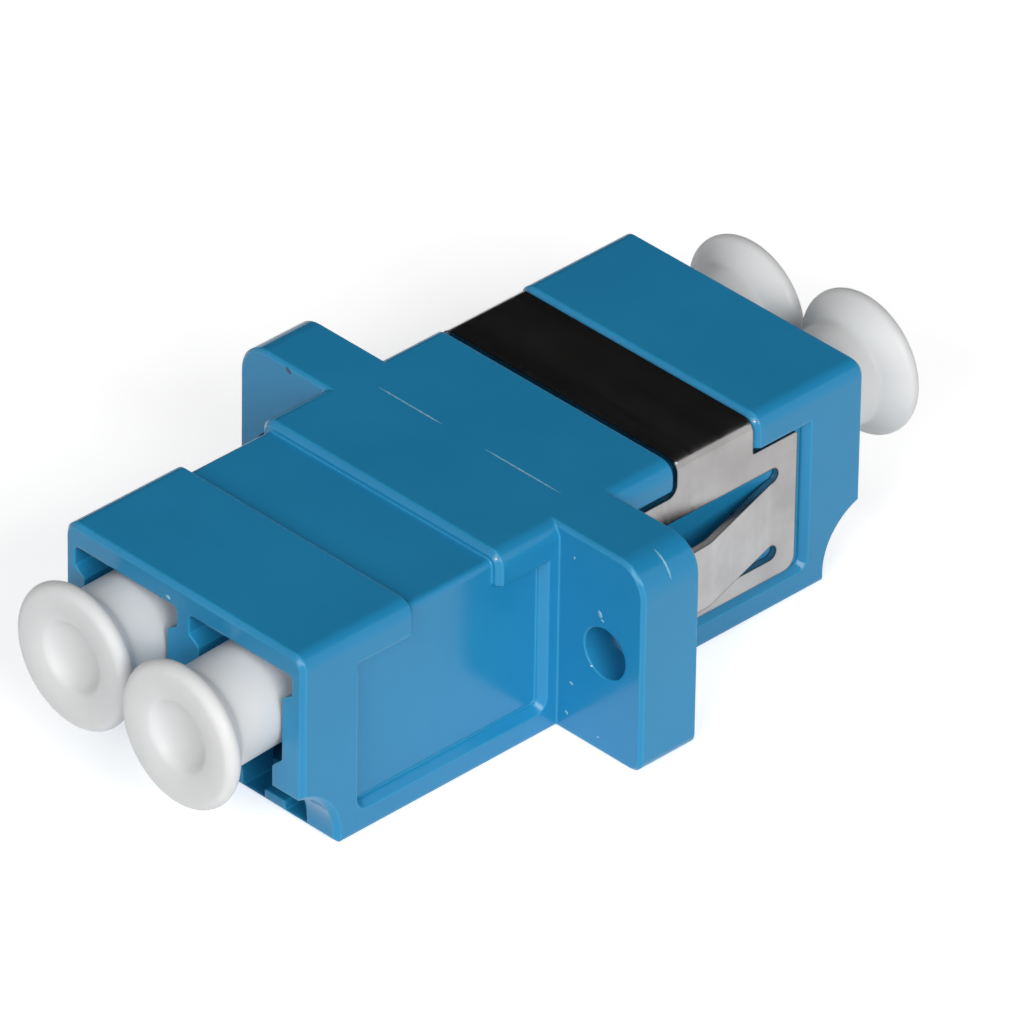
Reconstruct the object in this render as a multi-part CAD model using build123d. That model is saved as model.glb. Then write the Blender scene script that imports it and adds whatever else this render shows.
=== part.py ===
from build123d import *
import os

os.makedirs("parts", exist_ok=True)

# Duplex adapter that joins two small-form fibre plugs on each side.
# X runs across the two ports, Y along the fibres with the clip on the +Y half, Z is up.
# The origin is on the bottom face, in the seam between the two housing halves.
# All lengths are millimetres.

# Housing
BODY_WIDTH = 13.0
BODY_HEIGHT = 9.2
HALF_LENGTH = 14.75
TOP_EDGE_RADIUS = 0.65
BOTTOM_EDGE_RADIUS = 0.25
END_EDGE_CHAMFER = 0.18

# Flange, one plate on each half
SCREW_SPACING = 18.0
SCREW_EDGE_DISTANCE = 2.0
FLANGE_HALF_THICKNESS = 1.5
FLANGE_TOP_RADIUS = 1.4
FLANGE_BOTTOM_RADIUS = 0.6
FLANGE_EDGE_CHAMFER = 0.13
SEAM_CHAMFER = 0.07
SCREW_HOLE_RADIUS = 1.1

# Seat of the spring clip, sunk in the top and both sides of each half
SEAT_DEPTH = 0.4
NECK_START = 4.65
NECK_WIDTH = 4.3
POCKET_START = 2.3
POCKET_LENGTH = 9.35
POCKET_BOTTOM = 1.3
POCKET_BELOW_TOP = 1.4
POCKET_CORNER_RADIUS = 0.3
POCKET_EDGE_CHAMFER = 0.28
NECK_EDGE_CHAMFER = 0.2
SHOULDER_CORNER_RADIUS = 0.35

# Arched cut under each end, which leaves room for the plug's latch
ARCH_DEPTH = 1.8
ARCH_RADIUS = 2.4
ARCH_RISE = 0.5
ARCH_EDGE_CHAMFER = 0.22

# Ports
PORT_PITCH = 6.25
PORT_WIDTH = 4.54
PORT_ROOF = 0.95
RELIEF_WIDTH = 5.6
RELIEF_HEIGHT = 0.9
RELIEF_SLOPE = 0.35
RELIEF_DEPTH = 2.6
RELIEF_CORNER_RADIUS = 0.25
LATCH_SLOT_WIDTH = 3.5
LATCH_SLOT_END = 4.0
FLOOR_THICKNESS = 0.6
FLOOR_TONGUE_WIDTH = 1.1
FLOOR_GROOVE_DEPTH = 0.4
LATCH_LEDGE_LENGTH = 3.4
EAR_POCKET_LENGTH = 3.6
PARTITION_HALF_THICKNESS = 0.8

# Split alignment sleeves and the tubes that hold them
SLEEVE_BORE_RADIUS = 0.625
SLEEVE_WALL = 0.2
SLEEVE_LENGTH = 6.6
SLEEVE_SLOT = 0.3
SLEEVE_CLEARANCE = 0.04
SLEEVE_END_FLOAT = 0.05
TUBE_WALL = 0.42
TUBE_LIP_LENGTH = 0.4
FERRULE_CLEARANCE = 0.155
TUBE_MOUTH_CHAMFER = 0.15

# Spring clip, folded from one sheet
CLIP_THICKNESS = 0.3
CLIP_CLEARANCE = 0.02
CLIP_NECK_GAP = 0.12
CLIP_FRONT_GAP = 0.15
CLIP_REAR_GAP = 0.42
CLIP_TOP_GAP = 0.18
CLIP_BOTTOM_GAP = 0.12
PLATE_CORNER_RADIUS = 0.15
PLATE_INNER_RADIUS = 0.1
PLATE_FOOT_RADIUS = 0.55
WINDOW_FRONT_RAIL = 0.6
WINDOW_REAR_RAIL = 1.35
WINDOW_BOTTOM_RAIL = 0.85
WINDOW_TOP_RAIL = 1.15
WINDOW_SLOT = 0.65
SLOT_PAST_ROOT = 0.35
WING_REACH = 1.3
WING_SLOPE_LENGTH = 4.55
WING_TIP_LENGTH = 1.78
WING_TIP_REACH = 0.08
WING_BEND_RADIUS = 1.2

# Dust plugs, soft, with a dished mushroom head
PLUG_CLEARANCE = 0.13
PLUG_OVER_TUBE = 0.45
PLUG_HOLLOW_CLEARANCE = 0.07
PLUG_END_WALL = 1.2
PLUG_TIP_CHAMFER = 0.35
HEAD_RADIUS = 3.0
HEAD_LENGTH = 2.3
HEAD_NECK_LENGTH = 0.85
HEAD_SIDE_LENGTH = 0.4
RIM_CHAMFER = 0.22
RIM_WIDTH = 1.15
DISH_DEPTH = 0.95
DISH_STEPS = 2
# How far each head's back stands off the housing's end face
PLUG_STANDOFFS = {
    "front_left": 0.6,
    "front_right": 1.05,
    "rear_left": 1.4,
    "rear_right": 1.3,
}

# Extra length that carries a cut past the face it opens
CUT_MARGIN = 1.0
# How near a place counts as on it
TOUCH = 0.001

# Places that follow from the sizes above
side_face = BODY_WIDTH / 2
flange_width = SCREW_SPACING + 2 * SCREW_EDGE_DISTANCE
screw_hole_height = BODY_HEIGHT / 2
pocket_top = BODY_HEIGHT - POCKET_BELOW_TOP
port_top = BODY_HEIGHT - PORT_ROOF
fibre_height = port_top - PORT_WIDTH / 2
neck_end = NECK_START + NECK_WIDTH
pocket_end = POCKET_START + POCKET_LENGTH
port_bottom = port_top - PORT_WIDTH
port_centres = {"left": -PORT_PITCH / 2, "right": PORT_PITCH / 2}
sleeve_outer_radius = SLEEVE_BORE_RADIUS + SLEEVE_WALL
sleeve_seat_radius = sleeve_outer_radius + SLEEVE_CLEARANCE
sleeve_seat_end = SLEEVE_LENGTH / 2 + SLEEVE_END_FLOAT
tube_end = sleeve_seat_end + TUBE_LIP_LENGTH
tube_radius = sleeve_seat_radius + TUBE_WALL
plug_radius = PORT_WIDTH / 2 - PLUG_CLEARANCE
plug_length = HALF_LENGTH + max(PLUG_STANDOFFS.values()) - tube_end + PLUG_OVER_TUBE


def across(sketch, start, end):
    """Carry a section, drawn as X and Z, along Y from start to end."""
    plane = Plane(origin=(0, end, 0), x_dir=(1, 0, 0), z_dir=(0, -1, 0))
    return extrude(plane * sketch, end - start)


def sideways(sketch, start, end):
    """Carry a side view, drawn as Y and Z, along X from start to end."""
    plane = Plane(origin=(start, 0, 0), x_dir=(0, 1, 0), z_dir=(1, 0, 0))
    return extrude(plane * sketch, end - start)


def rod(x, z, radius, start, end):
    """A round bar or bore along Y."""
    return across(Pos(x, z) * Circle(radius), start, end)


def block(low, high):
    """A rectangle from its lower left to its upper right corner."""
    centre = ((low[0] + high[0]) / 2, (low[1] + high[1]) / 2)
    return Pos(*centre) * Rectangle(high[0] - low[0], high[1] - low[1])


def rounded_section(width, height, top_radius, bottom_radius):
    """A section that stands on Z = 0, with its own radius at the top and at the bottom."""
    outline = block((-width / 2, 0), (width / 2, height))
    outline = fillet(outline.vertices().group_by(Axis.Y)[-1], top_radius)
    return fillet(outline.vertices().group_by(Axis.Y)[0], bottom_radius)


def body_section(inset):
    """The body's section, drawn in by the inset at the top and at both sides."""
    return rounded_section(
        BODY_WIDTH - 2 * inset,
        BODY_HEIGHT - inset,
        TOP_EDGE_RADIUS - inset,
        BOTTOM_EDGE_RADIUS,
    )


def on_plane(value, place):
    """Whether a coordinate lies at a place."""
    return abs(value - place) < TOUCH


def corner_near(sketch, y, z):
    """The vertex of a side view that lies nearest to a place."""
    return sketch.vertices().sort_by(lambda v: abs(v.X - y) + abs(v.Y - z))[0]


# Housing half


def housing_shell():
    """The body and its flange plate, before anything is cut."""
    body = across(body_section(0), FLANGE_HALF_THICKNESS / 2, HALF_LENGTH)
    end_edges = body.faces().sort_by(Axis.Y)[-1].edges()
    body = chamfer(end_edges, END_EDGE_CHAMFER)
    plate_section = rounded_section(
        flange_width, BODY_HEIGHT, FLANGE_TOP_RADIUS, FLANGE_BOTTOM_RADIUS
    )
    plate = across(plate_section, 0, FLANGE_HALF_THICKNESS)
    seam_edges = plate.faces().sort_by(Axis.Y)[0].edges()
    seam_edges = seam_edges.filter_by(lambda e: e.center().Z > FLANGE_BOTTOM_RADIUS)
    plate = chamfer(seam_edges, SEAM_CHAMFER)
    plate = chamfer(plate.faces().sort_by(Axis.Y)[-1].edges(), FLANGE_EDGE_CHAMFER)
    return body + plate


def seat_pocket():
    """The right-hand pocket for the clip's side plate, open at the top along the neck."""
    outline = block((POCKET_START, POCKET_BOTTOM), (pocket_end, pocket_top))
    outline = fillet(outline.vertices().group_by(Axis.Y)[0], POCKET_CORNER_RADIUS)
    return outline + block((NECK_START, fibre_height), (neck_end, BODY_HEIGHT + CUT_MARGIN))


def clip_seat():
    """What the clip's seat takes away: a band over the top and a pocket on each side."""
    above = block(
        (-side_face - CUT_MARGIN, pocket_top), (side_face + CUT_MARGIN, BODY_HEIGHT + CUT_MARGIN)
    )
    seat = across(above - body_section(SEAT_DEPTH), NECK_START, neck_end)
    rounded = fillet(corner_near(seat_pocket(), NECK_START, pocket_top), SHOULDER_CORNER_RADIUS)
    inner = side_face - SEAT_DEPTH
    outer = side_face + CUT_MARGIN
    return seat + sideways(rounded, inner, outer) + sideways(seat_pocket(), -outer, -inner)


def seated_body():
    """The body and flange with the clip's seat cut in and its rims eased."""
    body = housing_shell() - clip_seat()
    rims = body.edges().filter_by(Axis.Y).filter_by(lambda e: on_plane(e.center().Z, POCKET_BOTTOM))
    rims = rims.filter_by(lambda e: on_plane(abs(e.center().X), side_face))
    body = chamfer(rims, POCKET_EDGE_CHAMFER)
    rims = body.edges().filter_by(Axis.X).filter_by(lambda e: on_plane(e.center().Z, BODY_HEIGHT))
    rims = rims.filter_by(lambda e: on_plane(e.center().Y, NECK_START) or on_plane(e.center().Y, neck_end))
    return chamfer(rims, NECK_EDGE_CHAMFER)


def end_arch():
    """The arched cut under the end of the body."""
    inner = HALF_LENGTH - ARCH_DEPTH
    arch = Pos(inner + ARCH_RADIUS, ARCH_RISE) * Circle(ARCH_RADIUS)
    arch += block((inner, -CUT_MARGIN), (inner + 2 * ARCH_RADIUS, ARCH_RISE))
    return sideways(arch, -side_face - CUT_MARGIN, side_face + CUT_MARGIN)


def arched_body():
    """The seated body with the arch cut under its end and the arch's rim eased."""
    body = seated_body() - end_arch()
    rims = body.edges().filter_by(GeomType.CIRCLE).filter_by(
        lambda e: on_plane(abs(e.center().X), side_face) and e.center().Y > HALF_LENGTH - ARCH_DEPTH
    )
    return chamfer(rims, ARCH_EDGE_CHAMFER)


def port_cavity(x):
    """One port: bore, relief at the mouth, latch slot, ear pocket and grooves in the floor."""
    mouth = HALF_LENGTH + CUT_MARGIN
    half = PORT_WIDTH / 2
    bore = block((x - half, port_bottom), (x + half, port_top))
    corner = (PORT_WIDTH - LATCH_SLOT_WIDTH) / 2
    bore = chamfer(bore.vertices().group_by(Axis.Y)[0], corner)
    cavity = across(bore, PARTITION_HALF_THICKNESS, mouth)

    slot_half = LATCH_SLOT_WIDTH / 2
    slot = block((x - slot_half, FLOOR_THICKNESS), (x + slot_half, fibre_height))
    cavity += across(slot, LATCH_SLOT_END, mouth)

    pocket = block((x - half, FLOOR_THICKNESS), (x + half, fibre_height))
    pocket_mouth = HALF_LENGTH - LATCH_LEDGE_LENGTH
    cavity += across(pocket, pocket_mouth - EAR_POCKET_LENGTH, pocket_mouth)
    groove_low = FLOOR_THICKNESS - FLOOR_GROOVE_DEPTH
    grooves = block((x - slot_half, groove_low), (x + slot_half, FLOOR_THICKNESS))
    grooves -= block((x - FLOOR_TONGUE_WIDTH / 2, 0), (x + FLOOR_TONGUE_WIDTH / 2, FLOOR_THICKNESS))
    cavity += across(grooves, pocket_mouth, mouth)

    relief_half = RELIEF_WIDTH / 2
    relief_low = port_top - RELIEF_HEIGHT
    relief = Polygon(
        (x - half, relief_low - RELIEF_SLOPE),
        (x + half, relief_low - RELIEF_SLOPE),
        (x + relief_half, relief_low),
        (x + relief_half, port_top),
        (x - relief_half, port_top),
        (x - relief_half, relief_low),
        align=None,
    )
    relief = fillet(relief.vertices().group_by(Axis.Y)[-1], RELIEF_CORNER_RADIUS)
    return cavity + across(relief, HALF_LENGTH - RELIEF_DEPTH, mouth)


def sleeve_tube(x):
    """The tube that stands on the partition round half of a sleeve."""
    return rod(x, fibre_height, tube_radius, 0, tube_end)


def sleeve_seat(x):
    """The bore for the sleeve, with a smaller mouth that keeps the sleeve in."""
    mouth_radius = SLEEVE_BORE_RADIUS + FERRULE_CLEARANCE
    bore = rod(x, fibre_height, sleeve_seat_radius, -CUT_MARGIN, sleeve_seat_end)
    bore += rod(x, fibre_height, mouth_radius, 0, tube_end + CUT_MARGIN)
    flare = Plane(origin=(x, tube_end, fibre_height), z_dir=(0, -1, 0)) * Pos(
        0, 0, TUBE_MOUTH_CHAMFER / 2
    ) * Cone(mouth_radius + TUBE_MOUTH_CHAMFER, mouth_radius, TUBE_MOUTH_CHAMFER)
    return bore + flare


def screw_hole(x):
    """A mounting hole through the flange plate."""
    return rod(x, screw_hole_height, SCREW_HOLE_RADIUS, -CUT_MARGIN, FLANGE_HALF_THICKNESS + CUT_MARGIN)


def housing_half():
    """One moulded half. The other half is the same moulding, turned about Z."""
    half = arched_body()
    for x in port_centres.values():
        half -= port_cavity(x)
    for x in port_centres.values():
        half += sleeve_tube(x)
    for x in port_centres.values():
        half -= sleeve_seat(x)
    for side in (-1, 1):
        half -= screw_hole(side * SCREW_SPACING / 2)
    return half


# Spring clip


def clip_wing(root, low, height):
    """The right-hand spring wing: out from its root, then nearly level past a crease."""
    middle = side_face - SEAT_DEPTH + CLIP_CLEARANCE + CLIP_THICKNESS / 2
    crease = root - WING_SLOPE_LENGTH
    path = FilletPolyline(
        (middle, root + SLOT_PAST_ROOT),
        (middle, root),
        (middle + WING_REACH, crease),
        (middle + WING_REACH + WING_TIP_REACH, crease - WING_TIP_LENGTH),
        radius=WING_BEND_RADIUS,
    )
    return Pos(0, 0, low) * extrude(trace(path, CLIP_THICKNESS), height)


def clip_plate(shoulder_radius):
    """The right-hand side plate with its wing bent out of a window."""
    low = POCKET_BOTTOM + CLIP_BOTTOM_GAP
    high = pocket_top - CLIP_TOP_GAP
    front = POCKET_START + CLIP_FRONT_GAP
    rear = pocket_end - CLIP_REAR_GAP
    neck_front = NECK_START + CLIP_NECK_GAP
    neck_rear = neck_end - CLIP_NECK_GAP
    outline = block((front, low), (rear, high))
    outline = fillet(corner_near(outline, rear, low), PLATE_FOOT_RADIUS)
    for corner in ((front, low), (front, high), (rear, high)):
        outline = fillet(corner_near(outline, *corner), PLATE_CORNER_RADIUS)
    outline += block((neck_front, fibre_height), (neck_rear, BODY_HEIGHT + CUT_MARGIN))
    outline = fillet(corner_near(outline, neck_front, high), shoulder_radius + CLIP_NECK_GAP)
    outline = fillet(corner_near(outline, neck_rear, high), PLATE_INNER_RADIUS)
    outline -= block((neck_front, BODY_HEIGHT - TOP_EDGE_RADIUS), (neck_rear, BODY_HEIGHT + 2 * CUT_MARGIN))

    root = rear - WINDOW_REAR_RAIL
    window_low = low + WINDOW_BOTTOM_RAIL
    window_high = high - WINDOW_TOP_RAIL
    window = block((front + WINDOW_FRONT_RAIL, window_low), (root, window_high))
    window = fillet(window.vertices().group_by(Axis.X)[0], PLATE_CORNER_RADIUS)
    for slot_middle in (window_low + WINDOW_SLOT / 2, window_high - WINDOW_SLOT / 2):
        window += block(
            (root - WINDOW_SLOT, slot_middle - WINDOW_SLOT / 2),
            (root + SLOT_PAST_ROOT - WINDOW_SLOT / 2, slot_middle + WINDOW_SLOT / 2),
        )
        window += Pos(root + SLOT_PAST_ROOT - WINDOW_SLOT / 2, slot_middle) * Circle(WINDOW_SLOT / 2)

    inner = side_face - SEAT_DEPTH + CLIP_CLEARANCE
    wing = clip_wing(root, window_low + WINDOW_SLOT, window_high - window_low - 2 * WINDOW_SLOT)
    return sideways(outline - window, inner, inner + CLIP_THICKNESS) + wing


def panel_clip():
    """The bent spring clip: a web over the top and a plate down each side."""
    inset = SEAT_DEPTH - CLIP_CLEARANCE
    sheet = body_section(inset - CLIP_THICKNESS) - body_section(inset)
    sheet &= block((-side_face, BODY_HEIGHT - TOP_EDGE_RADIUS), (side_face, BODY_HEIGHT))
    web = across(sheet, NECK_START + CLIP_NECK_GAP, neck_end - CLIP_NECK_GAP)
    right_plate = clip_plate(SHOULDER_CORNER_RADIUS)
    left_plate = mirror(clip_plate(PLATE_INNER_RADIUS), Plane.YZ)
    return web + right_plate + left_plate


# Split sleeves


def split_sleeve(x):
    """A thin tube, slit along its top, that lines up two ferrules."""
    half = SLEEVE_LENGTH / 2
    sleeve = rod(x, fibre_height, sleeve_outer_radius, -half, half)
    sleeve -= rod(x, fibre_height, SLEEVE_BORE_RADIUS, -half, half)
    slit = block(
        (x - SLEEVE_SLOT / 2, fibre_height), (x + SLEEVE_SLOT / 2, fibre_height + 2 * sleeve_outer_radius)
    )
    return sleeve - across(slit, -half, half)


# Dust plugs


def stepped(curve, steps):
    """Straight lines that follow a curve."""
    return Polyline(*[curve @ (i / steps) for i in range(steps + 1)])


def dust_plug_profile():
    """Half of the plug's section: radius as X, distance out from the head's back as Y."""
    tip = -plug_length
    hollow_radius = tube_radius + PLUG_HOLLOW_CLEARANCE
    side_end = HEAD_LENGTH - RIM_CHAMFER
    dish_radius = HEAD_RADIUS - RIM_WIDTH
    outline = Polyline(
        (0, -PLUG_END_WALL),
        (hollow_radius, -PLUG_END_WALL),
        (hollow_radius, tip),
        (plug_radius - PLUG_TIP_CHAMFER, tip),
        (plug_radius, tip + PLUG_TIP_CHAMFER),
        (plug_radius, HEAD_NECK_LENGTH),
        (HEAD_RADIUS, side_end - HEAD_SIDE_LENGTH),
        (HEAD_RADIUS, side_end),
        (HEAD_RADIUS - RIM_CHAMFER, HEAD_LENGTH),
        (dish_radius, HEAD_LENGTH),
    )
    dish = EllipticalCenterArc((0, HEAD_LENGTH), dish_radius, DISH_DEPTH, start_angle=270, arc_size=90)
    dish = stepped(dish, DISH_STEPS)
    return make_face(outline + dish + Line(outline @ 0, dish @ 0))


def dust_plug(place):
    """One plug, pushed into its port as far as its own stand-off lets it."""
    end, side = place.split("_")
    plug = revolve(dust_plug_profile(), Axis.Y)
    seated = Pos(0, HALF_LENGTH + PLUG_STANDOFFS[place], fibre_height) * plug
    if end == "front":
        seated = Rot(0, 0, 180) * seated
    return Pos(port_centres[side], 0, 0) * seated


rear_housing = housing_half()
parts = {
    "rear_housing": rear_housing,
    "front_housing": Rot(0, 0, 180) * rear_housing,
    "panel_clip": panel_clip(),
}
for side, x in port_centres.items():
    parts["split_sleeve_" + side] = split_sleeve(x)
for place in PLUG_STANDOFFS:
    parts["dust_plug_" + place] = dust_plug(place)

for name, shape in parts.items():
    export_step(shape, "parts/" + name + ".step")
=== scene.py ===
# %% [markdown]
# # A duplex fibre adapter with its dust plugs
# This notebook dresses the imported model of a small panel-mount adapter.
# It has two blue moulded halves, a bent steel clip, two ceramic sleeves and four soft white plugs.
# Everything is in metres and in the model's own frame, with the clip on the +Y half and Z up.

# %%
import math

import bmesh
import bpy
from mathutils import Matrix, Vector


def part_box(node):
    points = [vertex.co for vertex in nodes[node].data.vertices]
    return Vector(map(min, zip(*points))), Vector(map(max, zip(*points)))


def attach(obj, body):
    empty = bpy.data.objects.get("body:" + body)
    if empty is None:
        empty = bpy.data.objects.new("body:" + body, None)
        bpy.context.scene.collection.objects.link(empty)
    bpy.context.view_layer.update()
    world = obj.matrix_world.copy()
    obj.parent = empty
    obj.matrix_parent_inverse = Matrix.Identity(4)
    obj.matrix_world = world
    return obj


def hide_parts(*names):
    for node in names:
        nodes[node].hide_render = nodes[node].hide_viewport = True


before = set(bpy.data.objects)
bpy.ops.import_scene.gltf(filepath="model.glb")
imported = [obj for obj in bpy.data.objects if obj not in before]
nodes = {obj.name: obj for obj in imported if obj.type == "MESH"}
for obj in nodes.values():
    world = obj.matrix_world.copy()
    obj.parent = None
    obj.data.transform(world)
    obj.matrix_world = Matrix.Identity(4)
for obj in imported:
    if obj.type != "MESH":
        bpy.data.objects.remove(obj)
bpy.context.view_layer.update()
MM = 0.001
print("pieces in the frame:", ", ".join(sorted(nodes)))

# %% [markdown]
# ## Camera
# The viewpoint was found by fitting the body's edges, the flange and a screw hole to the photo.
# It is a long lens from the front right and above, so the parallel edges stay almost parallel.
# A short lens nearby would splay the ports, and a flat projection would lose the last bit of taper.

# %%
CAMERA_AZIMUTH = 45.35
CAMERA_ELEVATION = 33.94
CAMERA_ROLL = 0.9
CAMERA_DISTANCE = 552.5 * MM
AIM = Vector((0.75, 1.64, 5.51)) * MM
FOCAL_LENGTH = 512.1
SENSOR_WIDTH = 36


def direction(azimuth, elevation):
    """The way from the part to a viewpoint, with both angles in degrees and 0 at the front."""
    a, e = math.radians(azimuth), math.radians(elevation)
    return Vector((math.sin(a) * math.cos(e), -math.cos(a) * math.cos(e), math.sin(e)))


back = direction(CAMERA_AZIMUTH, CAMERA_ELEVATION)
roll = Matrix.Rotation(math.radians(CAMERA_ROLL), 3, "Z").to_quaternion()
camera_data = bpy.data.cameras.new("camera")
camera_data.lens = FOCAL_LENGTH
camera_data.sensor_width = SENSOR_WIDTH
camera_data.clip_start = 0.01
camera_data.clip_end = 10
camera = bpy.data.objects.new("camera", camera_data)
camera.rotation_mode = "QUATERNION"
camera.rotation_quaternion = (-back).to_track_quat("-Z", "Y") @ roll
camera.location = AIM + back * CAMERA_DISTANCE
bpy.context.scene.collection.objects.link(camera)
bpy.context.scene.camera = camera
print("camera", [round(v, 4) for v in camera.location])

# %% [markdown]
# ## Helpers for shader nodes
# Materials are wired in code, so a few short helpers keep the wiring readable.
# One adds a node with its settings and links, one spreads a value over two tones.
# The others make a shared effect, place it in a material, and start a new material.
# A shared effect is a node group with named inputs and outputs that several finishes use.

# %%
def add(tree, kind, inputs=None, **settings):
    """A node with its settings and its input values or links."""
    node = tree.nodes.new("ShaderNode" + kind)
    for name, value in settings.items():
        setattr(node, name, value)
    for name, value in (inputs or {}).items():
        if isinstance(value, bpy.types.NodeSocket):
            tree.links.new(value, node.inputs[name])
        else:
            node.inputs[name].default_value = value
    return node


def two_tones(tree, factor, dark, light, start=0.0, end=1.0):
    """A colour that goes from a dark to a light tone as the factor goes from start to end."""
    node = add(tree, "ValToRGB", {"Fac": factor})
    for element, position, tone in zip(node.color_ramp.elements, (start, end), (dark, light)):
        element.position = position
        element.color = (*tone, 1)
    return node.outputs["Color"]


def effect(name, inputs, outputs):
    """An empty shared effect: its node tree, the sockets that feed it and those that it feeds."""
    tree = bpy.data.node_groups.new(name, "ShaderNodeTree")
    number, way = "NodeSocketFloat", "NodeSocketVector"
    for label, value in inputs.items():
        socket = tree.interface.new_socket(name=label, in_out="INPUT", socket_type=number)
        socket.default_value = value
    for label in outputs:
        kind = way if label == "Normal" else number
        tree.interface.new_socket(name=label, in_out="OUTPUT", socket_type=kind)
    return tree, tree.nodes.new("NodeGroupInput").outputs, tree.nodes.new("NodeGroupOutput").inputs


def use(tree, group, **inputs):
    """The outputs of a shared effect, placed in a material."""
    node = tree.nodes.new("ShaderNodeGroup")
    node.node_tree = group
    for label, value in inputs.items():
        node.inputs[label.replace("_", " ")].default_value = value
    return node.outputs


def finish_named(name):
    """A new material: its node tree and its shader."""
    material = bpy.data.materials.new(name)
    material.use_nodes = True
    return material, material.node_tree, material.node_tree.nodes["Principled BSDF"]


# %% [markdown]
# ## Shared effect: moulded skin
# An injection-moulded face is never quite flat or evenly glossy.
# Broad clouds stand for sink and flow, and a fine grain for the texture of the tool steel.
# Both follow the object's own coordinates, so they move with the piece and need no unwrapping.

# %%
CLOUD_WEIGHT = 2.0

skin, into, out = effect(
    "moulded_skin",
    {"Cloud Scale": 180, "Grain Scale": 4200},
    ["Cloud", "Grain", "Height"],
)
place = add(skin, "TexCoord").outputs["Object"]
cloud = add(skin, "TexNoise", {
    "Vector": place, "Scale": into["Cloud Scale"], "Detail": 3, "Roughness": 0.55,
})
grain = add(skin, "TexNoise", {
    "Vector": place, "Scale": into["Grain Scale"], "Detail": 2, "Roughness": 0.6,
})
weighed = add(skin, "Math", {0: cloud.outputs[0], 1: CLOUD_WEIGHT}, operation="MULTIPLY")
height = add(skin, "Math", {0: weighed.outputs[0], 1: grain.outputs[0]}, operation="ADD")
skin.links.new(cloud.outputs[0], out["Cloud"])
skin.links.new(grain.outputs[0], out["Grain"])
skin.links.new(height.outputs[0], out["Height"])
print("shared effect", skin.name)

# %% [markdown]
# ## Shared effect: dust specks
# Small parts on a bench pick up lint and crumbs, seen as a few bright dots.
# Cells of a Voronoi pattern each hold one dot, and a random value keeps only a few of them.
# A painted map would need unwrapped faces, and this gives the same dots on every run.

# %%
specks, into, out = effect(
    "dust_specks",
    {"Cell Scale": 900, "Dot Size": 0.1, "Share": 0.04},
    ["Mask"],
)
place = add(specks, "TexCoord").outputs["Object"]
cells = add(specks, "TexVoronoi", {"Vector": place, "Scale": into["Cell Scale"], "Randomness": 1.0})
pick = add(specks, "SeparateColor", {"Color": cells.outputs["Color"]})
kept = add(specks, "Math", {0: pick.outputs[0], 1: into["Share"]}, operation="LESS_THAN")
off = cells.outputs["Distance"]
dot = add(specks, "Math", {0: off, 1: into["Dot Size"]}, operation="LESS_THAN")
mask = add(specks, "Math", {0: kept.outputs[0], 1: dot.outputs[0]}, operation="MULTIPLY")
specks.links.new(mask.outputs[0], out["Mask"])
print("shared effect", specks.name)

# %% [markdown]
# ## Shared effect: softened edges
# Moulded and cut edges have a tiny radius that catches the light, finer than the model's facets.
# The bevel node rounds the normal near an edge, and only there does it differ from the face's own.
# Both are handed out, the mask for the painted highlight on blue edges and the painted shade on steel
# edges, and the normal to make the edge catch the lamps.
# Real fillets that small would multiply the faces for a line one pixel wide.

# %%
edges, into, out = effect("softened_edges", {"Radius": 0.00012}, ["Mask", "Normal"])
rounded = add(edges, "Bevel", {"Radius": into["Radius"]}, samples=6)
face_way = add(edges, "NewGeometry").outputs["Normal"]
# The mask marks where the finishes paint edge highlight and edge shade.
along = add(edges, "VectorMath", {0: rounded.outputs[0], 1: face_way}, operation="DOT_PRODUCT")
off_face = add(edges, "Math", {0: 1.0, 1: along.outputs["Value"]}, operation="SUBTRACT")
spread = add(edges, "MapRange", {"Value": off_face.outputs[0], "From Min": 0.0, "From Max": 0.12})
edges.links.new(spread.outputs[0], out["Mask"])
edges.links.new(rounded.outputs[0], out["Normal"])
print("shared effect", edges.name)

# %% [markdown]
# ## Finish: blue moulded plastic
# The halves are a strong cyan blue, glossy with a slight satin, and painted lighter along their
# edges, a painted highlight where the rounded edges catch the light.
# The colour drifts with the clouds of the moulded skin, and rare specks of dust stand out pale.
# Roughness follows the fine grain, so the reflections break up a little, as on the real part.

# %%
blue, tree, shader = finish_named("blue_moulded_plastic")
shader.inputs["IOR"].default_value = 1.5
shader.inputs["Specular IOR Level"].default_value = 0.3
drift = use(tree, skin, Cloud_Scale=160, Grain_Scale=5200)
lint = use(tree, specks, Cell_Scale=520, Dot_Size=0.055, Share=0.02)
edge = use(tree, edges, Radius=0.00014)
body_tone = two_tones(
    tree, drift["Cloud"], (0.0170, 0.232, 0.456), (0.0200, 0.254, 0.492), start=0.3, end=0.7,
)
# The lighter blue along the edges is a painted highlight.
painted_edge_highlight = add(tree, "Mix", {
    "Factor": edge["Mask"], "A": body_tone, "B": (0.03, 0.36, 0.62, 1),
}, data_type="RGBA")
dusty = add(tree, "Mix", {
    "Factor": lint["Mask"], "A": painted_edge_highlight.outputs[2], "B": (0.45, 0.62, 0.72, 1),
}, data_type="RGBA")
gloss = add(tree, "MapRange", {
    "Value": drift["Grain"], "From Min": 0.3, "From Max": 0.7, "To Min": 0.12, "To Max": 0.2,
})
relief = add(tree, "Bump", {
    "Height": drift["Height"], "Normal": edge["Normal"], "Strength": 0.12, "Distance": 0.00001,
})
tree.links.new(dusty.outputs[2], shader.inputs["Base Color"])
tree.links.new(gloss.outputs[0], shader.inputs["Roughness"])
tree.links.new(relief.outputs[0], shader.inputs["Normal"])
print("finish", blue.name)
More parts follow.
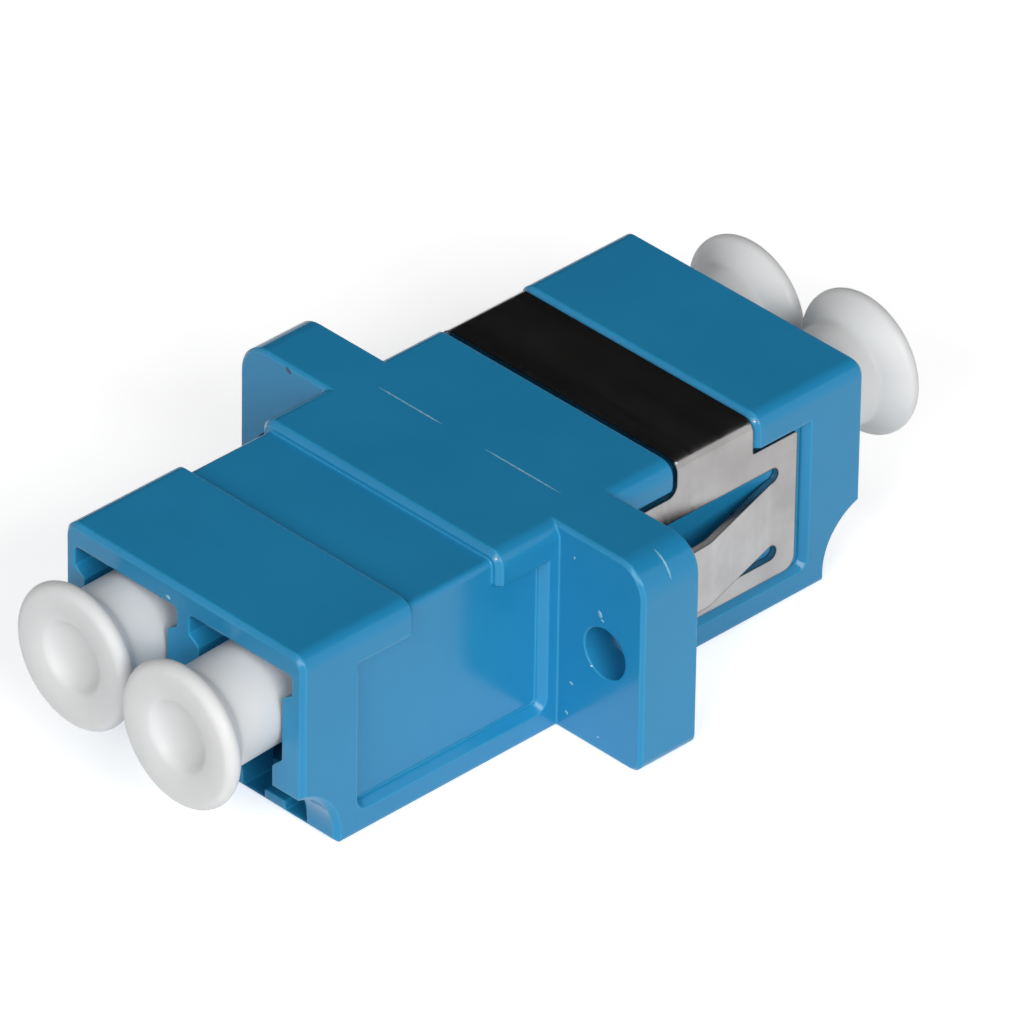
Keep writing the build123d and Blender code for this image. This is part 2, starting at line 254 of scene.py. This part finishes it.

# %% [markdown]
# ## Finish: rolled spring steel
# The clip is thin stainless strip, polished enough to mirror the room but not like a true mirror.
# Fine rolling lines run along the strip, stretched noise in the height and the roughness.
# Its edges are painted darker, a painted shade for the thin cut edges, which look dark.
# A real metal shader is used, so the dark top and the grey side both come from what they reflect.

# %%
steel, tree, shader = finish_named("rolled_spring_steel")
shader.inputs["Metallic"].default_value = 1.0
place = add(tree, "TexCoord").outputs["Object"]
stretched = add(tree, "Mapping", {"Vector": place, "Scale": (60, 2600, 60)})
lines = add(tree, "TexNoise", {
    "Vector": stretched.outputs[0], "Scale": 1.0, "Detail": 3, "Roughness": 0.6,
})
haze = use(tree, skin, Cloud_Scale=420, Grain_Scale=6000)
edge = use(tree, edges, Radius=0.00011)
sheet_tone = two_tones(
    tree, haze["Cloud"], (0.35, 0.338, 0.335), (0.43, 0.422, 0.42), start=0.35, end=0.65,
)
# The near-black along the edges is painted shade.
painted_edge_shade = add(tree, "Mix", {
    "Factor": edge["Mask"], "A": sheet_tone, "B": (0.06, 0.06, 0.065, 1),
}, data_type="RGBA")
polish = add(tree, "MapRange", {
    "Value": lines.outputs[0], "From Min": 0.3, "From Max": 0.7, "To Min": 0.16, "To Max": 0.26,
})
relief = add(tree, "Bump", {"Height": lines.outputs[0], "Strength": 0.06, "Distance": 0.00001})
tree.links.new(painted_edge_shade.outputs[2], shader.inputs["Base Color"])
tree.links.new(polish.outputs[0], shader.inputs["Roughness"])
tree.links.new(relief.outputs[0], shader.inputs["Normal"])
print("finish", steel.name)

# %% [markdown]
# ## Finish: ground ceramic
# The split sleeves are white zirconia, ground smooth inside and out, deep in the ports.
# Faint grinding rings run round them, and the body is slightly warm and very glossy.
# They are hardly seen with the plugs in, but they show once a plug is pulled.

# %%
ceramic, tree, shader = finish_named("ground_ceramic")
shader.inputs["Specular IOR Level"].default_value = 0.7
place = add(tree, "TexCoord").outputs["Object"]
rings = add(tree, "TexWave", {
    "Vector": place, "Scale": 900, "Distortion": 1.5, "Detail": 2,
}, bands_direction="Y")
warm = two_tones(tree, rings.outputs[0], (0.80, 0.79, 0.76), (0.86, 0.855, 0.83))
ground = add(tree, "MapRange", {"Value": rings.outputs[0], "To Min": 0.12, "To Max": 0.2})
relief = add(tree, "Bump", {"Height": rings.outputs[0], "Strength": 0.05, "Distance": 0.000005})
tree.links.new(warm, shader.inputs["Base Color"])
tree.links.new(ground.outputs[0], shader.inputs["Roughness"])
tree.links.new(relief.outputs[0], shader.inputs["Normal"])
print("finish", ceramic.name)

# %% [markdown]
# ## Finish: soft white plastic
# The dust plugs are a soft milky polymer, so light enters them and leaves a little further on.
# That makes their shadows pale, with a broad soft sheen and no sharp highlight.
# The clouds of the moulded skin shift the white slightly between cool and warm.

# %%
milky, tree, shader = finish_named("soft_white_plastic")
shader.inputs["Subsurface Weight"].default_value = 0.35
shader.inputs["Subsurface Radius"].default_value = (1.0, 0.9, 0.8)
shader.inputs["Subsurface Scale"].default_value = 0.0009
shader.inputs["IOR"].default_value = 1.5
shader.inputs["Specular IOR Level"].default_value = 0.4
drift = use(tree, skin, Cloud_Scale=300, Grain_Scale=3600)
lint = use(tree, specks, Cell_Scale=700, Dot_Size=0.05, Share=0.012)
milk = two_tones(
    tree, drift["Cloud"], (0.685, 0.695, 0.70), (0.73, 0.735, 0.735), start=0.3, end=0.7,
)
dusty = add(tree, "Mix", {
    "Factor": lint["Mask"], "A": milk, "B": (0.5, 0.49, 0.47, 1),
}, data_type="RGBA")
sheen = add(tree, "MapRange", {
    "Value": drift["Grain"], "From Min": 0.3, "From Max": 0.7, "To Min": 0.36, "To Max": 0.48,
})
relief = add(tree, "Bump", {"Height": drift["Height"], "Strength": 0.15, "Distance": 0.00001})
tree.links.new(dusty.outputs[2], shader.inputs["Base Color"])
tree.links.new(sheen.outputs[0], shader.inputs["Roughness"])
tree.links.new(relief.outputs[0], shader.inputs["Normal"])
print("finish", milky.name)

# %% [markdown]
# ## Dressing the hard pieces
# The two halves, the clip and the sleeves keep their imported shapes, because those are exact.
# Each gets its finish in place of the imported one, and nothing about its mesh changes.

# %%
FINISH_OF = {
    "front_housing": blue,
    "rear_housing": blue,
    "panel_clip": steel,
    "split_sleeve_left": ceramic,
    "split_sleeve_right": ceramic,
}
for name, material in FINISH_OF.items():
    nodes[name].data.materials.clear()
    nodes[name].data.materials.append(material)
    print(name, "wears", material.name)

# %% [markdown]
# ## Dust plugs: the section
# Each plug is one closed skin: a hollow barrel, a soft neck and a mushroom head with a dished face.
# The section is drawn in millimetres, radius against distance out from the head's back.
# An arc is given by its centre, its two radii, its first and last angle and its steps.
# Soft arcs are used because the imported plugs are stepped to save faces, and white shows every step.

# %%
BARREL_RADIUS = 2.14
BARREL_RINGS = 12
TIP_ROUND = 0.35
MOUTH_RADIUS = 1.47
MOUTH_RIM_RADIUS = 1.75
MOUTH_DEPTH = 0.12
HOLLOW_RADIUS = 1.35
HOLLOW_ROUND = 0.25
HOLLOW_END = -1.2
NECK = ((2.54, 0.72), (0.4, 0.4), 180, 134, 5)
RIM = ((2.65, 1.92), (0.38, 0.38), -46, 90, 14)
FACE = ((2.45, -0.7), (3.0, 3.0), 90, 106, 8)
DISH_LIP = ((1.7334, 1.7993), (0.4, 0.4), 106, 150, 8)
DISH = ((0, 2.2233), (1.45, 0.7669), -16.98, -90, 16)


def arc(centre, radii, start, end, steps):
    """Points of an elliptical arc, with its angles in degrees."""
    turns = [math.radians(start + (end - start) * i / steps) for i in range(steps + 1)]
    return [(centre[0] + radii[0] * math.cos(t), centre[1] + radii[1] * math.sin(t)) for t in turns]


def plug_section(length):
    """Half of the plug's section, from the bottom of its hollow round to the middle of its dish."""
    bottom = HOLLOW_RADIUS - HOLLOW_ROUND
    section = [(0, HOLLOW_END), (bottom, HOLLOW_END)]
    section += arc((bottom, HOLLOW_END - HOLLOW_ROUND), (HOLLOW_ROUND, HOLLOW_ROUND), 90, 0, 4)
    section += [(HOLLOW_RADIUS, -length * 0.5), (HOLLOW_RADIUS, MOUTH_DEPTH - length)]
    section += [(MOUTH_RADIUS, -length), (MOUTH_RIM_RADIUS, -length)]
    tip = (BARREL_RADIUS - TIP_ROUND, TIP_ROUND - length)
    section += arc(tip, (TIP_ROUND, TIP_ROUND), 270, 360, 6)
    # the barrel starts two rings in, clear of the tip's arc
    for step in range(BARREL_RINGS - 2, 0, -1):
        section.append((BARREL_RADIUS, -length * step / BARREL_RINGS))
    section += arc(*NECK) + arc(*RIM) + arc(*FACE)
    section += arc(*DISH_LIP)[1:] + arc(*DISH)[1:]
    return section


# %% [markdown]
# ## Dust plugs: turning the skin
# A lathe makes the skin ring by ring, and both ends close in a point on the axis.
# A soft plug never sits quite straight, so each one curves a little up or down on its way out.
# The curve starts deep in the barrel and grows with the square of the distance, as in a bent rod.

# %%
SAG_START = 8.0
SIDES = 112
ON_AXIS = 1e-6
JOIN_DISTANCE = 1e-7


def made_object(name, mesh, smooth=False):
    """The object made from a bmesh, linked to the scene."""
    data = bpy.data.meshes.new(name)
    mesh.to_mesh(data)
    mesh.free()
    if smooth:
        data.polygons.foreach_set("use_smooth", [True] * len(data.polygons))
    made = bpy.data.objects.new(name, data)
    bpy.context.scene.collection.objects.link(made)
    return made


def lathe(name, section, place, outward, sag):
    """A skin turned about the Y axis, facing +Y or -Y, whose axis curves up or down by the sag."""
    mesh = bmesh.new()
    rings = []
    for radius, along in section:
        y = place.y + outward * along * MM
        z = place.z + sag * MM * (max(along + SAG_START, 0) / SAG_START) ** 2
        if radius < ON_AXIS:
            rings.append([mesh.verts.new((place.x, y, z))])
            continue
        turns = [2 * math.pi * i / SIDES for i in range(SIDES)]
        rings.append([
            mesh.verts.new((place.x + radius * MM * math.cos(t), y, z + radius * MM * math.sin(t)))
            for t in turns
        ])
    for a, b in zip(rings, rings[1:]):
        for i in range(SIDES):
            j = (i + 1) % SIDES
            corners = [a[i % len(a)], a[j % len(a)], b[j % len(b)], b[i % len(b)]]
            mesh.faces.new(list(dict.fromkeys(corners)))
    bmesh.ops.remove_doubles(mesh, verts=mesh.verts, dist=JOIN_DISTANCE)
    bmesh.ops.recalc_face_normals(mesh, faces=mesh.faces)
    return made_object(name, mesh, smooth=True)


# %% [markdown]
# ## Dust plugs: placing them
# A plug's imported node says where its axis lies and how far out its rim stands.
# So nothing is placed by eye, and a plug that stands out further gets the same skin further out.
# The new skin rides on the plug's own body, which slides out of the port.
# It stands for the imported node, so the stepped plug isn't drawn as well.

# %%
HEAD_LENGTH = 2.3
SAGS = {"front_left": -0.11, "front_right": -0.22, "rear_left": -0.22, "rear_right": 0.12}
for end, outward in (("front", -1), ("rear", 1)):
    for side in ("left", "right"):
        low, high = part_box(f"dust_plug_{end}_{side}")
        rim = low.y if end == "front" else high.y
        centre = (low + high) / 2
        origin = Vector((centre.x, rim - outward * HEAD_LENGTH * MM, centre.z))
        length = (high.y - low.y) / MM - HEAD_LENGTH
        sag = SAGS[f"{end}_{side}"]
        plug = lathe(f"plug_{end}_{side}", plug_section(length), origin, outward, sag)
        plug.data.materials.append(milky)
        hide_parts(f"dust_plug_{end}_{side}")
        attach(plug, f"plug_{end}_{side}")
        print(plug.name, "length", round(length, 2), "mm, faces", len(plug.data.polygons))

# %% [markdown]
# ## The seam between the halves: its outline
# The halves are welded along the flange, so the seam follows its outline in the plane y = 0.
# The outline is given as places, each with the way out of the surface, in millimetres.
# Its straight parts and corners are drawn from the housing's box and the flange's two corner radii.
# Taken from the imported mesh, it would have that mesh's facets along the corners.

# %%
FLANGE_CORNER = 1.4
FLANGE_FOOT = 0.6


def along_line(start, end, way, steps):
    """Places along a straight part of the outline."""
    start, end = Vector((start[0], 0, start[1])), Vector((end[0], 0, end[1]))
    return [(start.lerp(end, i / steps), Vector((way[0], 0, way[1]))) for i in range(steps + 1)]


def round_corner(centre, radius, start, end, steps):
    """Places round a corner of the outline."""
    turns = [math.radians(start + (end - start) * i / steps) for i in range(steps + 1)]
    ways = [Vector((math.cos(t), 0, math.sin(t))) for t in turns]
    return [(Vector((centre[0], 0, centre[1])) + way * radius, way) for way in ways]


flange_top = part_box("front_housing")[1].z / MM
flange_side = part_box("front_housing")[1].x / MM
inset = flange_side - FLANGE_CORNER
shoulder = flange_top - FLANGE_CORNER
foot_inset = flange_side - FLANGE_FOOT
outline = round_corner((foot_inset, FLANGE_FOOT), FLANGE_FOOT, -80, 0, 10)
outline += along_line((flange_side, FLANGE_FOOT), (flange_side, shoulder), (1, 0), 8)[1:]
outline += round_corner((inset, shoulder), FLANGE_CORNER, 0, 90, 16)[1:]
outline += along_line((inset, flange_top), (-inset, flange_top), (0, 1), 8)[1:]
outline += round_corner((-inset, shoulder), FLANGE_CORNER, 90, 180, 16)[1:]
outline += along_line((-flange_side, shoulder), (-flange_side, FLANGE_FOOT), (-1, 0), 8)[1:]
outline += round_corner((-foot_inset, FLANGE_FOOT), FLANGE_FOOT, 180, 260, 10)[1:]
flash_paths = [
    along_line((-4.9, flange_top), (-1.4, flange_top), (0, 1), 36),
    along_line((0.9, flange_top), (5.0, flange_top), (0, 1), 40),
    round_corner((inset, shoulder), FLANGE_CORNER, 74, 18, 20),
]
print("outline places:", len(outline))

# %% [markdown]
# ## The seam between the halves: weld and flash
# The weld fills the eased seam flush, and here and there it has pressed out thin flash, painted pale
# as a highlight.
# Both are ridges swept along the outline, one broad and plain, the other short and uneven.
# A ridge has three corners all along, two at the surface and one in the middle, sunk or raised.
# A line drawn in the colour would stay flat and have no glint.

# %%
END_TAPER = 6
THINNEST_PART = 0.12


def sweep(mesh, path, width, edge_depth, middle_depth, uneven):
    """A closed ridge along a path, with its width across the seam and its depths in the surface."""
    rings = []
    for i, (point, way) in enumerate(path):
        half = width / 2
        if uneven:
            t = i / (len(path) - 1)
            taper = min(1.0, END_TAPER * t, END_TAPER * (1 - t))
            # two waves out of step, so the width doesn't repeat in sight
            wave = 0.75 + 0.25 * math.sin(i * 2.3) * math.cos(i * 0.9)
            half *= max(THINNEST_PART, taper * wave)
        edge = (point - way * edge_depth) * MM
        middle = (point - way * middle_depth) * MM
        across = Vector((0, half * MM, 0))
        rings.append([mesh.verts.new(corner) for corner in (edge - across, middle, edge + across)])
    for a, b in zip(rings, rings[1:]):
        for i in range(3):
            j = (i + 1) % 3
            mesh.faces.new([a[i], b[i], b[j], a[j]])
    mesh.faces.new(rings[0])
    mesh.faces.new(list(reversed(rings[-1])))


def ridges(name, paths, finish, **shape):
    """One piece made of ridges, which stays on the housing."""
    mesh = bmesh.new()
    for path in paths:
        sweep(mesh, path, **shape)
    bmesh.ops.recalc_face_normals(mesh, faces=mesh.faces)
    ridge = made_object(name, mesh)
    ridge.data.materials.append(finish)
    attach(ridge, "adapter")
    print(name, "faces", len(ridge.data.polygons))


# %% [markdown]
# ## The seam between the halves: what weld and flash wear
# The flash is painted paler and duller than the blue, in patches along the seam, a painted highlight
# where the seam catches the light.
# The weld wears the blue itself, but without softened edges and their painted edge highlight.
# Those would draw its two borders as lines, just where the eased seam should disappear.

# %%
flash_highlight_finish, tree, shader = finish_named("flash_painted_highlight")
streak = use(tree, skin, Cloud_Scale=1500, Grain_Scale=9000)
# The pale tones are a painted highlight along the seam.
pale = two_tones(tree, streak["Cloud"], (0.10, 0.36, 0.53), (0.36, 0.58, 0.69))
tree.links.new(pale, shader.inputs["Base Color"])
shader.inputs["Roughness"].default_value = 0.45
shader.inputs["Specular IOR Level"].default_value = 0.25

welded = blue.copy()
welded.name = "welded_blue_plastic"
for node in welded.node_tree.nodes:
    if node.type == "GROUP" and node.node_tree == edges:
        node.inputs["Radius"].default_value = 0.0

FLUSH = {"width": 0.42, "edge_depth": -0.001, "middle_depth": 0.066, "uneven": False}
PROUD = {"width": 0.125, "edge_depth": 0.0, "middle_depth": -0.004, "uneven": True}
ridges("seam_weld", [outline], welded, **FLUSH)
ridges("seam_flash", flash_paths, flash_highlight_finish, **PROUD)

# %% [markdown]
# ## Crumbs, painted glints and a painted pit shade
# The photograph shows pale crumbs on the flange and the front end, and a dark pit on the left ear,
# whose dark is painted shade.
# Four spots by a sharp edge of the moulding also have a tiny pale bead, a painted glint of that edge.
# Each is a flattened bead, so it has a body and a shadow of its own.
# The ones of a kind are joined into one piece, which stays on the housing.

# %%
BEAD_HEIGHT_SHARE = 0.6


def bead(mesh, place, size, flat, turn):
    """A flattened bead on a face that looks along -Y, longer across than up, turned in the face."""
    made = bmesh.ops.create_icosphere(mesh, subdivisions=2, radius=1.0)
    shape = Matrix.Translation(Vector(place) * MM) @ Matrix.Rotation(math.radians(turn), 4, "Y")
    shape = shape @ Matrix.Diagonal((size * MM, flat * MM, size * BEAD_HEIGHT_SHARE * MM, 1))
    bmesh.ops.transform(mesh, matrix=shape, verts=made["verts"])


def beads(name, rows, finish):
    """One piece made of beads, which stays on the housing."""
    mesh = bmesh.new()
    for row in rows:
        bead(mesh, *row)
    made = made_object(name, mesh, smooth=True)
    made.data.materials.append(finish)
    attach(made, "adapter")
    print(name, len(rows), "beads")


def speckled(name, dark, light):
    """A dull finish that drifts between two colours."""
    material, tree, shader = finish_named(name)
    drift = use(tree, skin, Cloud_Scale=6000, Grain_Scale=20000)
    tree.links.new(two_tones(tree, drift["Cloud"], dark, light), shader.inputs["Base Color"])
    shader.inputs["Roughness"].default_value = 0.4
    return material


# %% [markdown]
# ## Where the crumbs, the painted glints and the painted pit shade are
# Each row is a bead's place in millimetres, its size, its flatness and its turn in degrees.
# The rows are listed one by one, because these few marks are part of how this very piece looks.
# A noise mask would scatter them at random, and most would land in the wrong place.
# A known fault: the last three glint beads hang 0.16 to 0.23 mm off the corners that they belong to.

# %%
EAR_FACE = -1.5
END_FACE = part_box("front_housing")[0].y / MM

crumb_rows = [
    ((8.70, EAR_FACE, 6.25), 0.17, 0.02, 60),
    ((8.84, EAR_FACE, 6.02), 0.09, 0.02, 20),
    ((7.24, EAR_FACE, 2.38), 0.11, 0.02, 10),
    ((7.02, EAR_FACE, 0.93), 0.10, 0.02, 40),
    ((8.73, EAR_FACE, 0.66), 0.07, 0.02, 0),
    ((7.30, EAR_FACE, 8.10), 0.07, 0.02, 90),
    ((-0.81, END_FACE, 8.46), 0.14, 0.03, 20),
]
# These pale beads are painted glints, highlights on sharp corners of the moulding and on the hole's
# rim.
glint_bead_rows = [
    ((8.31, EAR_FACE, 3.70), 0.06, 0.03, 0),
    ((6.40, 4.72, 9.10), 0.07, 0.05, 0),
    ((6.40, 8.88, 9.10), 0.07, 0.05, 0),
    ((6.38, -4.72, 9.10), 0.07, 0.05, 0),
]
# This dark bead is painted shade, where a small pit on the left ear is dark.
pit_shade_rows = [((-8.30, EAR_FACE, 8.98), 0.17, 0.012, 30)]
beads("crumbs", crumb_rows, speckled("pale_crumb", (0.13, 0.38, 0.52), (0.32, 0.54, 0.64)))
beads("painted_glints", glint_bead_rows, speckled("painted_glint_finish", (0.60, 0.72, 0.78), (0.80, 0.86, 0.90)))
beads("pit_shade_bead", pit_shade_rows, speckled("painted_pit_shade", (0.006, 0.05, 0.11), (0.01, 0.09, 0.18)))

# %% [markdown]
# ## Floor
# A plain pale sheet lies under the part, and it keeps the part's soft shadow.
# Its face glows a little for the camera and in reflections, which lifts it to white.
# Light that bounces off it gets no such glow, or the part would be lit from below.

# %%
FLOOR_HALF = 0.6
FLOOR_LEVEL = -0.00002
FLOOR_LIFT = 0.55


def plain_sheet(name, corners, finish):
    """A flat four-cornered sheet with its finish, linked to the scene."""
    data = bpy.data.meshes.new(name)
    data.from_pydata(corners, [], [(0, 1, 2, 3)])
    made = bpy.data.objects.new(name, data)
    bpy.context.scene.collection.objects.link(made)
    made.data.materials.append(finish)
    return made


def seen_directly(tree):
    """1 where a camera, a reflection or a clear piece shows it, 0 where it only gives light."""
    ray = add(tree, "LightPath").outputs
    seen = ray["Is Camera Ray"]
    for kind in ("Is Glossy Ray", "Is Transmission Ray"):
        seen = add(tree, "Math", {0: seen, 1: ray[kind]}, operation="MAXIMUM").outputs[0]
    return seen


paper, tree, shader = finish_named("white_paper")
shader.inputs["Roughness"].default_value = 0.9
shader.inputs["Specular IOR Level"].default_value = 0.0
place = add(tree, "TexCoord").outputs["Object"]
fibre = add(tree, "TexNoise", {"Vector": place, "Scale": 300.0, "Detail": 2})
pale = two_tones(tree, fibre.outputs[0], (0.92, 0.92, 0.92), (0.95, 0.95, 0.95))
tree.links.new(pale, shader.inputs["Base Color"])
lift = add(tree, "MapRange", {"Value": seen_directly(tree), "To Min": 0.0, "To Max": FLOOR_LIFT})
shader.inputs["Emission Color"].default_value = (1, 1, 1, 1)
tree.links.new(lift.outputs[0], shader.inputs["Emission Strength"])
ways = [(-1, -1), (1, -1), (1, 1), (-1, 1)]
plain_sheet("floor", [(x * FLOOR_HALF, y * FLOOR_HALF, FLOOR_LEVEL) for x, y in ways], paper)

# %% [markdown]
# ## Light
# Two large soft lamps stand to the right and in front, and a faint one hangs above.
# Each lamp was rendered alone and weighed against the photograph's blue faces to find its strength.
# The room is white to the camera and in reflections, and only a pale glow where it lights the part.

# %%
LAMP_TARGET = Vector((0, 0, 4.6 * MM))
LAMP_DISTANCE = 0.6
ROOM_GLOW = 0.13


def lamp(name, azimuth, elevation, size, watts):
    """A square soft lamp that looks at the middle of the part."""
    away = direction(azimuth, elevation)
    data = bpy.data.lights.new(name, "AREA")
    data.size = size
    data.energy = watts
    made = bpy.data.objects.new(name, data)
    made.location = LAMP_TARGET + away * LAMP_DISTANCE
    made.rotation_mode = "QUATERNION"
    made.rotation_quaternion = away.to_track_quat("Z", "Y")
    bpy.context.scene.collection.objects.link(made)


lamp("side", azimuth=70, elevation=28, size=0.28, watts=2.1)
lamp("front", azimuth=20, elevation=28, size=0.28, watts=1.38)
lamp("above", azimuth=45, elevation=80, size=0.30, watts=0.3)

world = bpy.data.worlds.new("studio")
bpy.context.scene.world = world
world.use_nodes = True
tree = world.node_tree
room = tree.nodes["Background"]
level = add(tree, "MapRange", {"Value": seen_directly(tree), "To Min": ROOM_GLOW, "To Max": 1.0})
tree.links.new(level.outputs[0], room.inputs["Strength"])
room.inputs["Color"].default_value = (1, 1, 1, 1)

# %% [markdown]
# ## Black card
# A black card hangs behind the part, as over a real product table, and only reflections see it.
# It turns the top of the clip black, and leaves the clip's side grey, as in the photograph.
# A dark paint on the clip's top would look the same from here, but wrong from every other side.

# %%
CARD_TONE = 0.023


def card(name, azimuth, low, high, distance, half_width, finish):
    """A sheet at a distance that reaches between two elevations and shows in reflections only."""
    across = direction(azimuth + 90, 0) * half_width
    bottom = direction(azimuth, low) * distance
    top = direction(azimuth, high) * distance
    corners = [bottom - across, bottom + across, top + across, top - across]
    made = plain_sheet(name, corners, finish)
    for ray in ("camera", "diffuse", "shadow", "transmission", "volume_scatter"):
        setattr(made, "visible_" + ray, False)


black, tree, shader = finish_named("black_card")
shader.inputs["Base Color"].default_value = (CARD_TONE, CARD_TONE, CARD_TONE, 1)
shader.inputs["Specular IOR Level"].default_value = 0.0
behind = CAMERA_AZIMUTH + 180
card("back_card", behind, low=8, high=88, distance=0.5, half_width=0.6, finish=black)

# %% [markdown]
# ## Finish
# The view transform is plain, so a colour renders about as it is written.
# The weld and the flash stand out of the imported model by under 0.01 mm.

# %%
bpy.context.scene.view_settings.view_transform = "Standard"
bpy.context.view_layer.update()
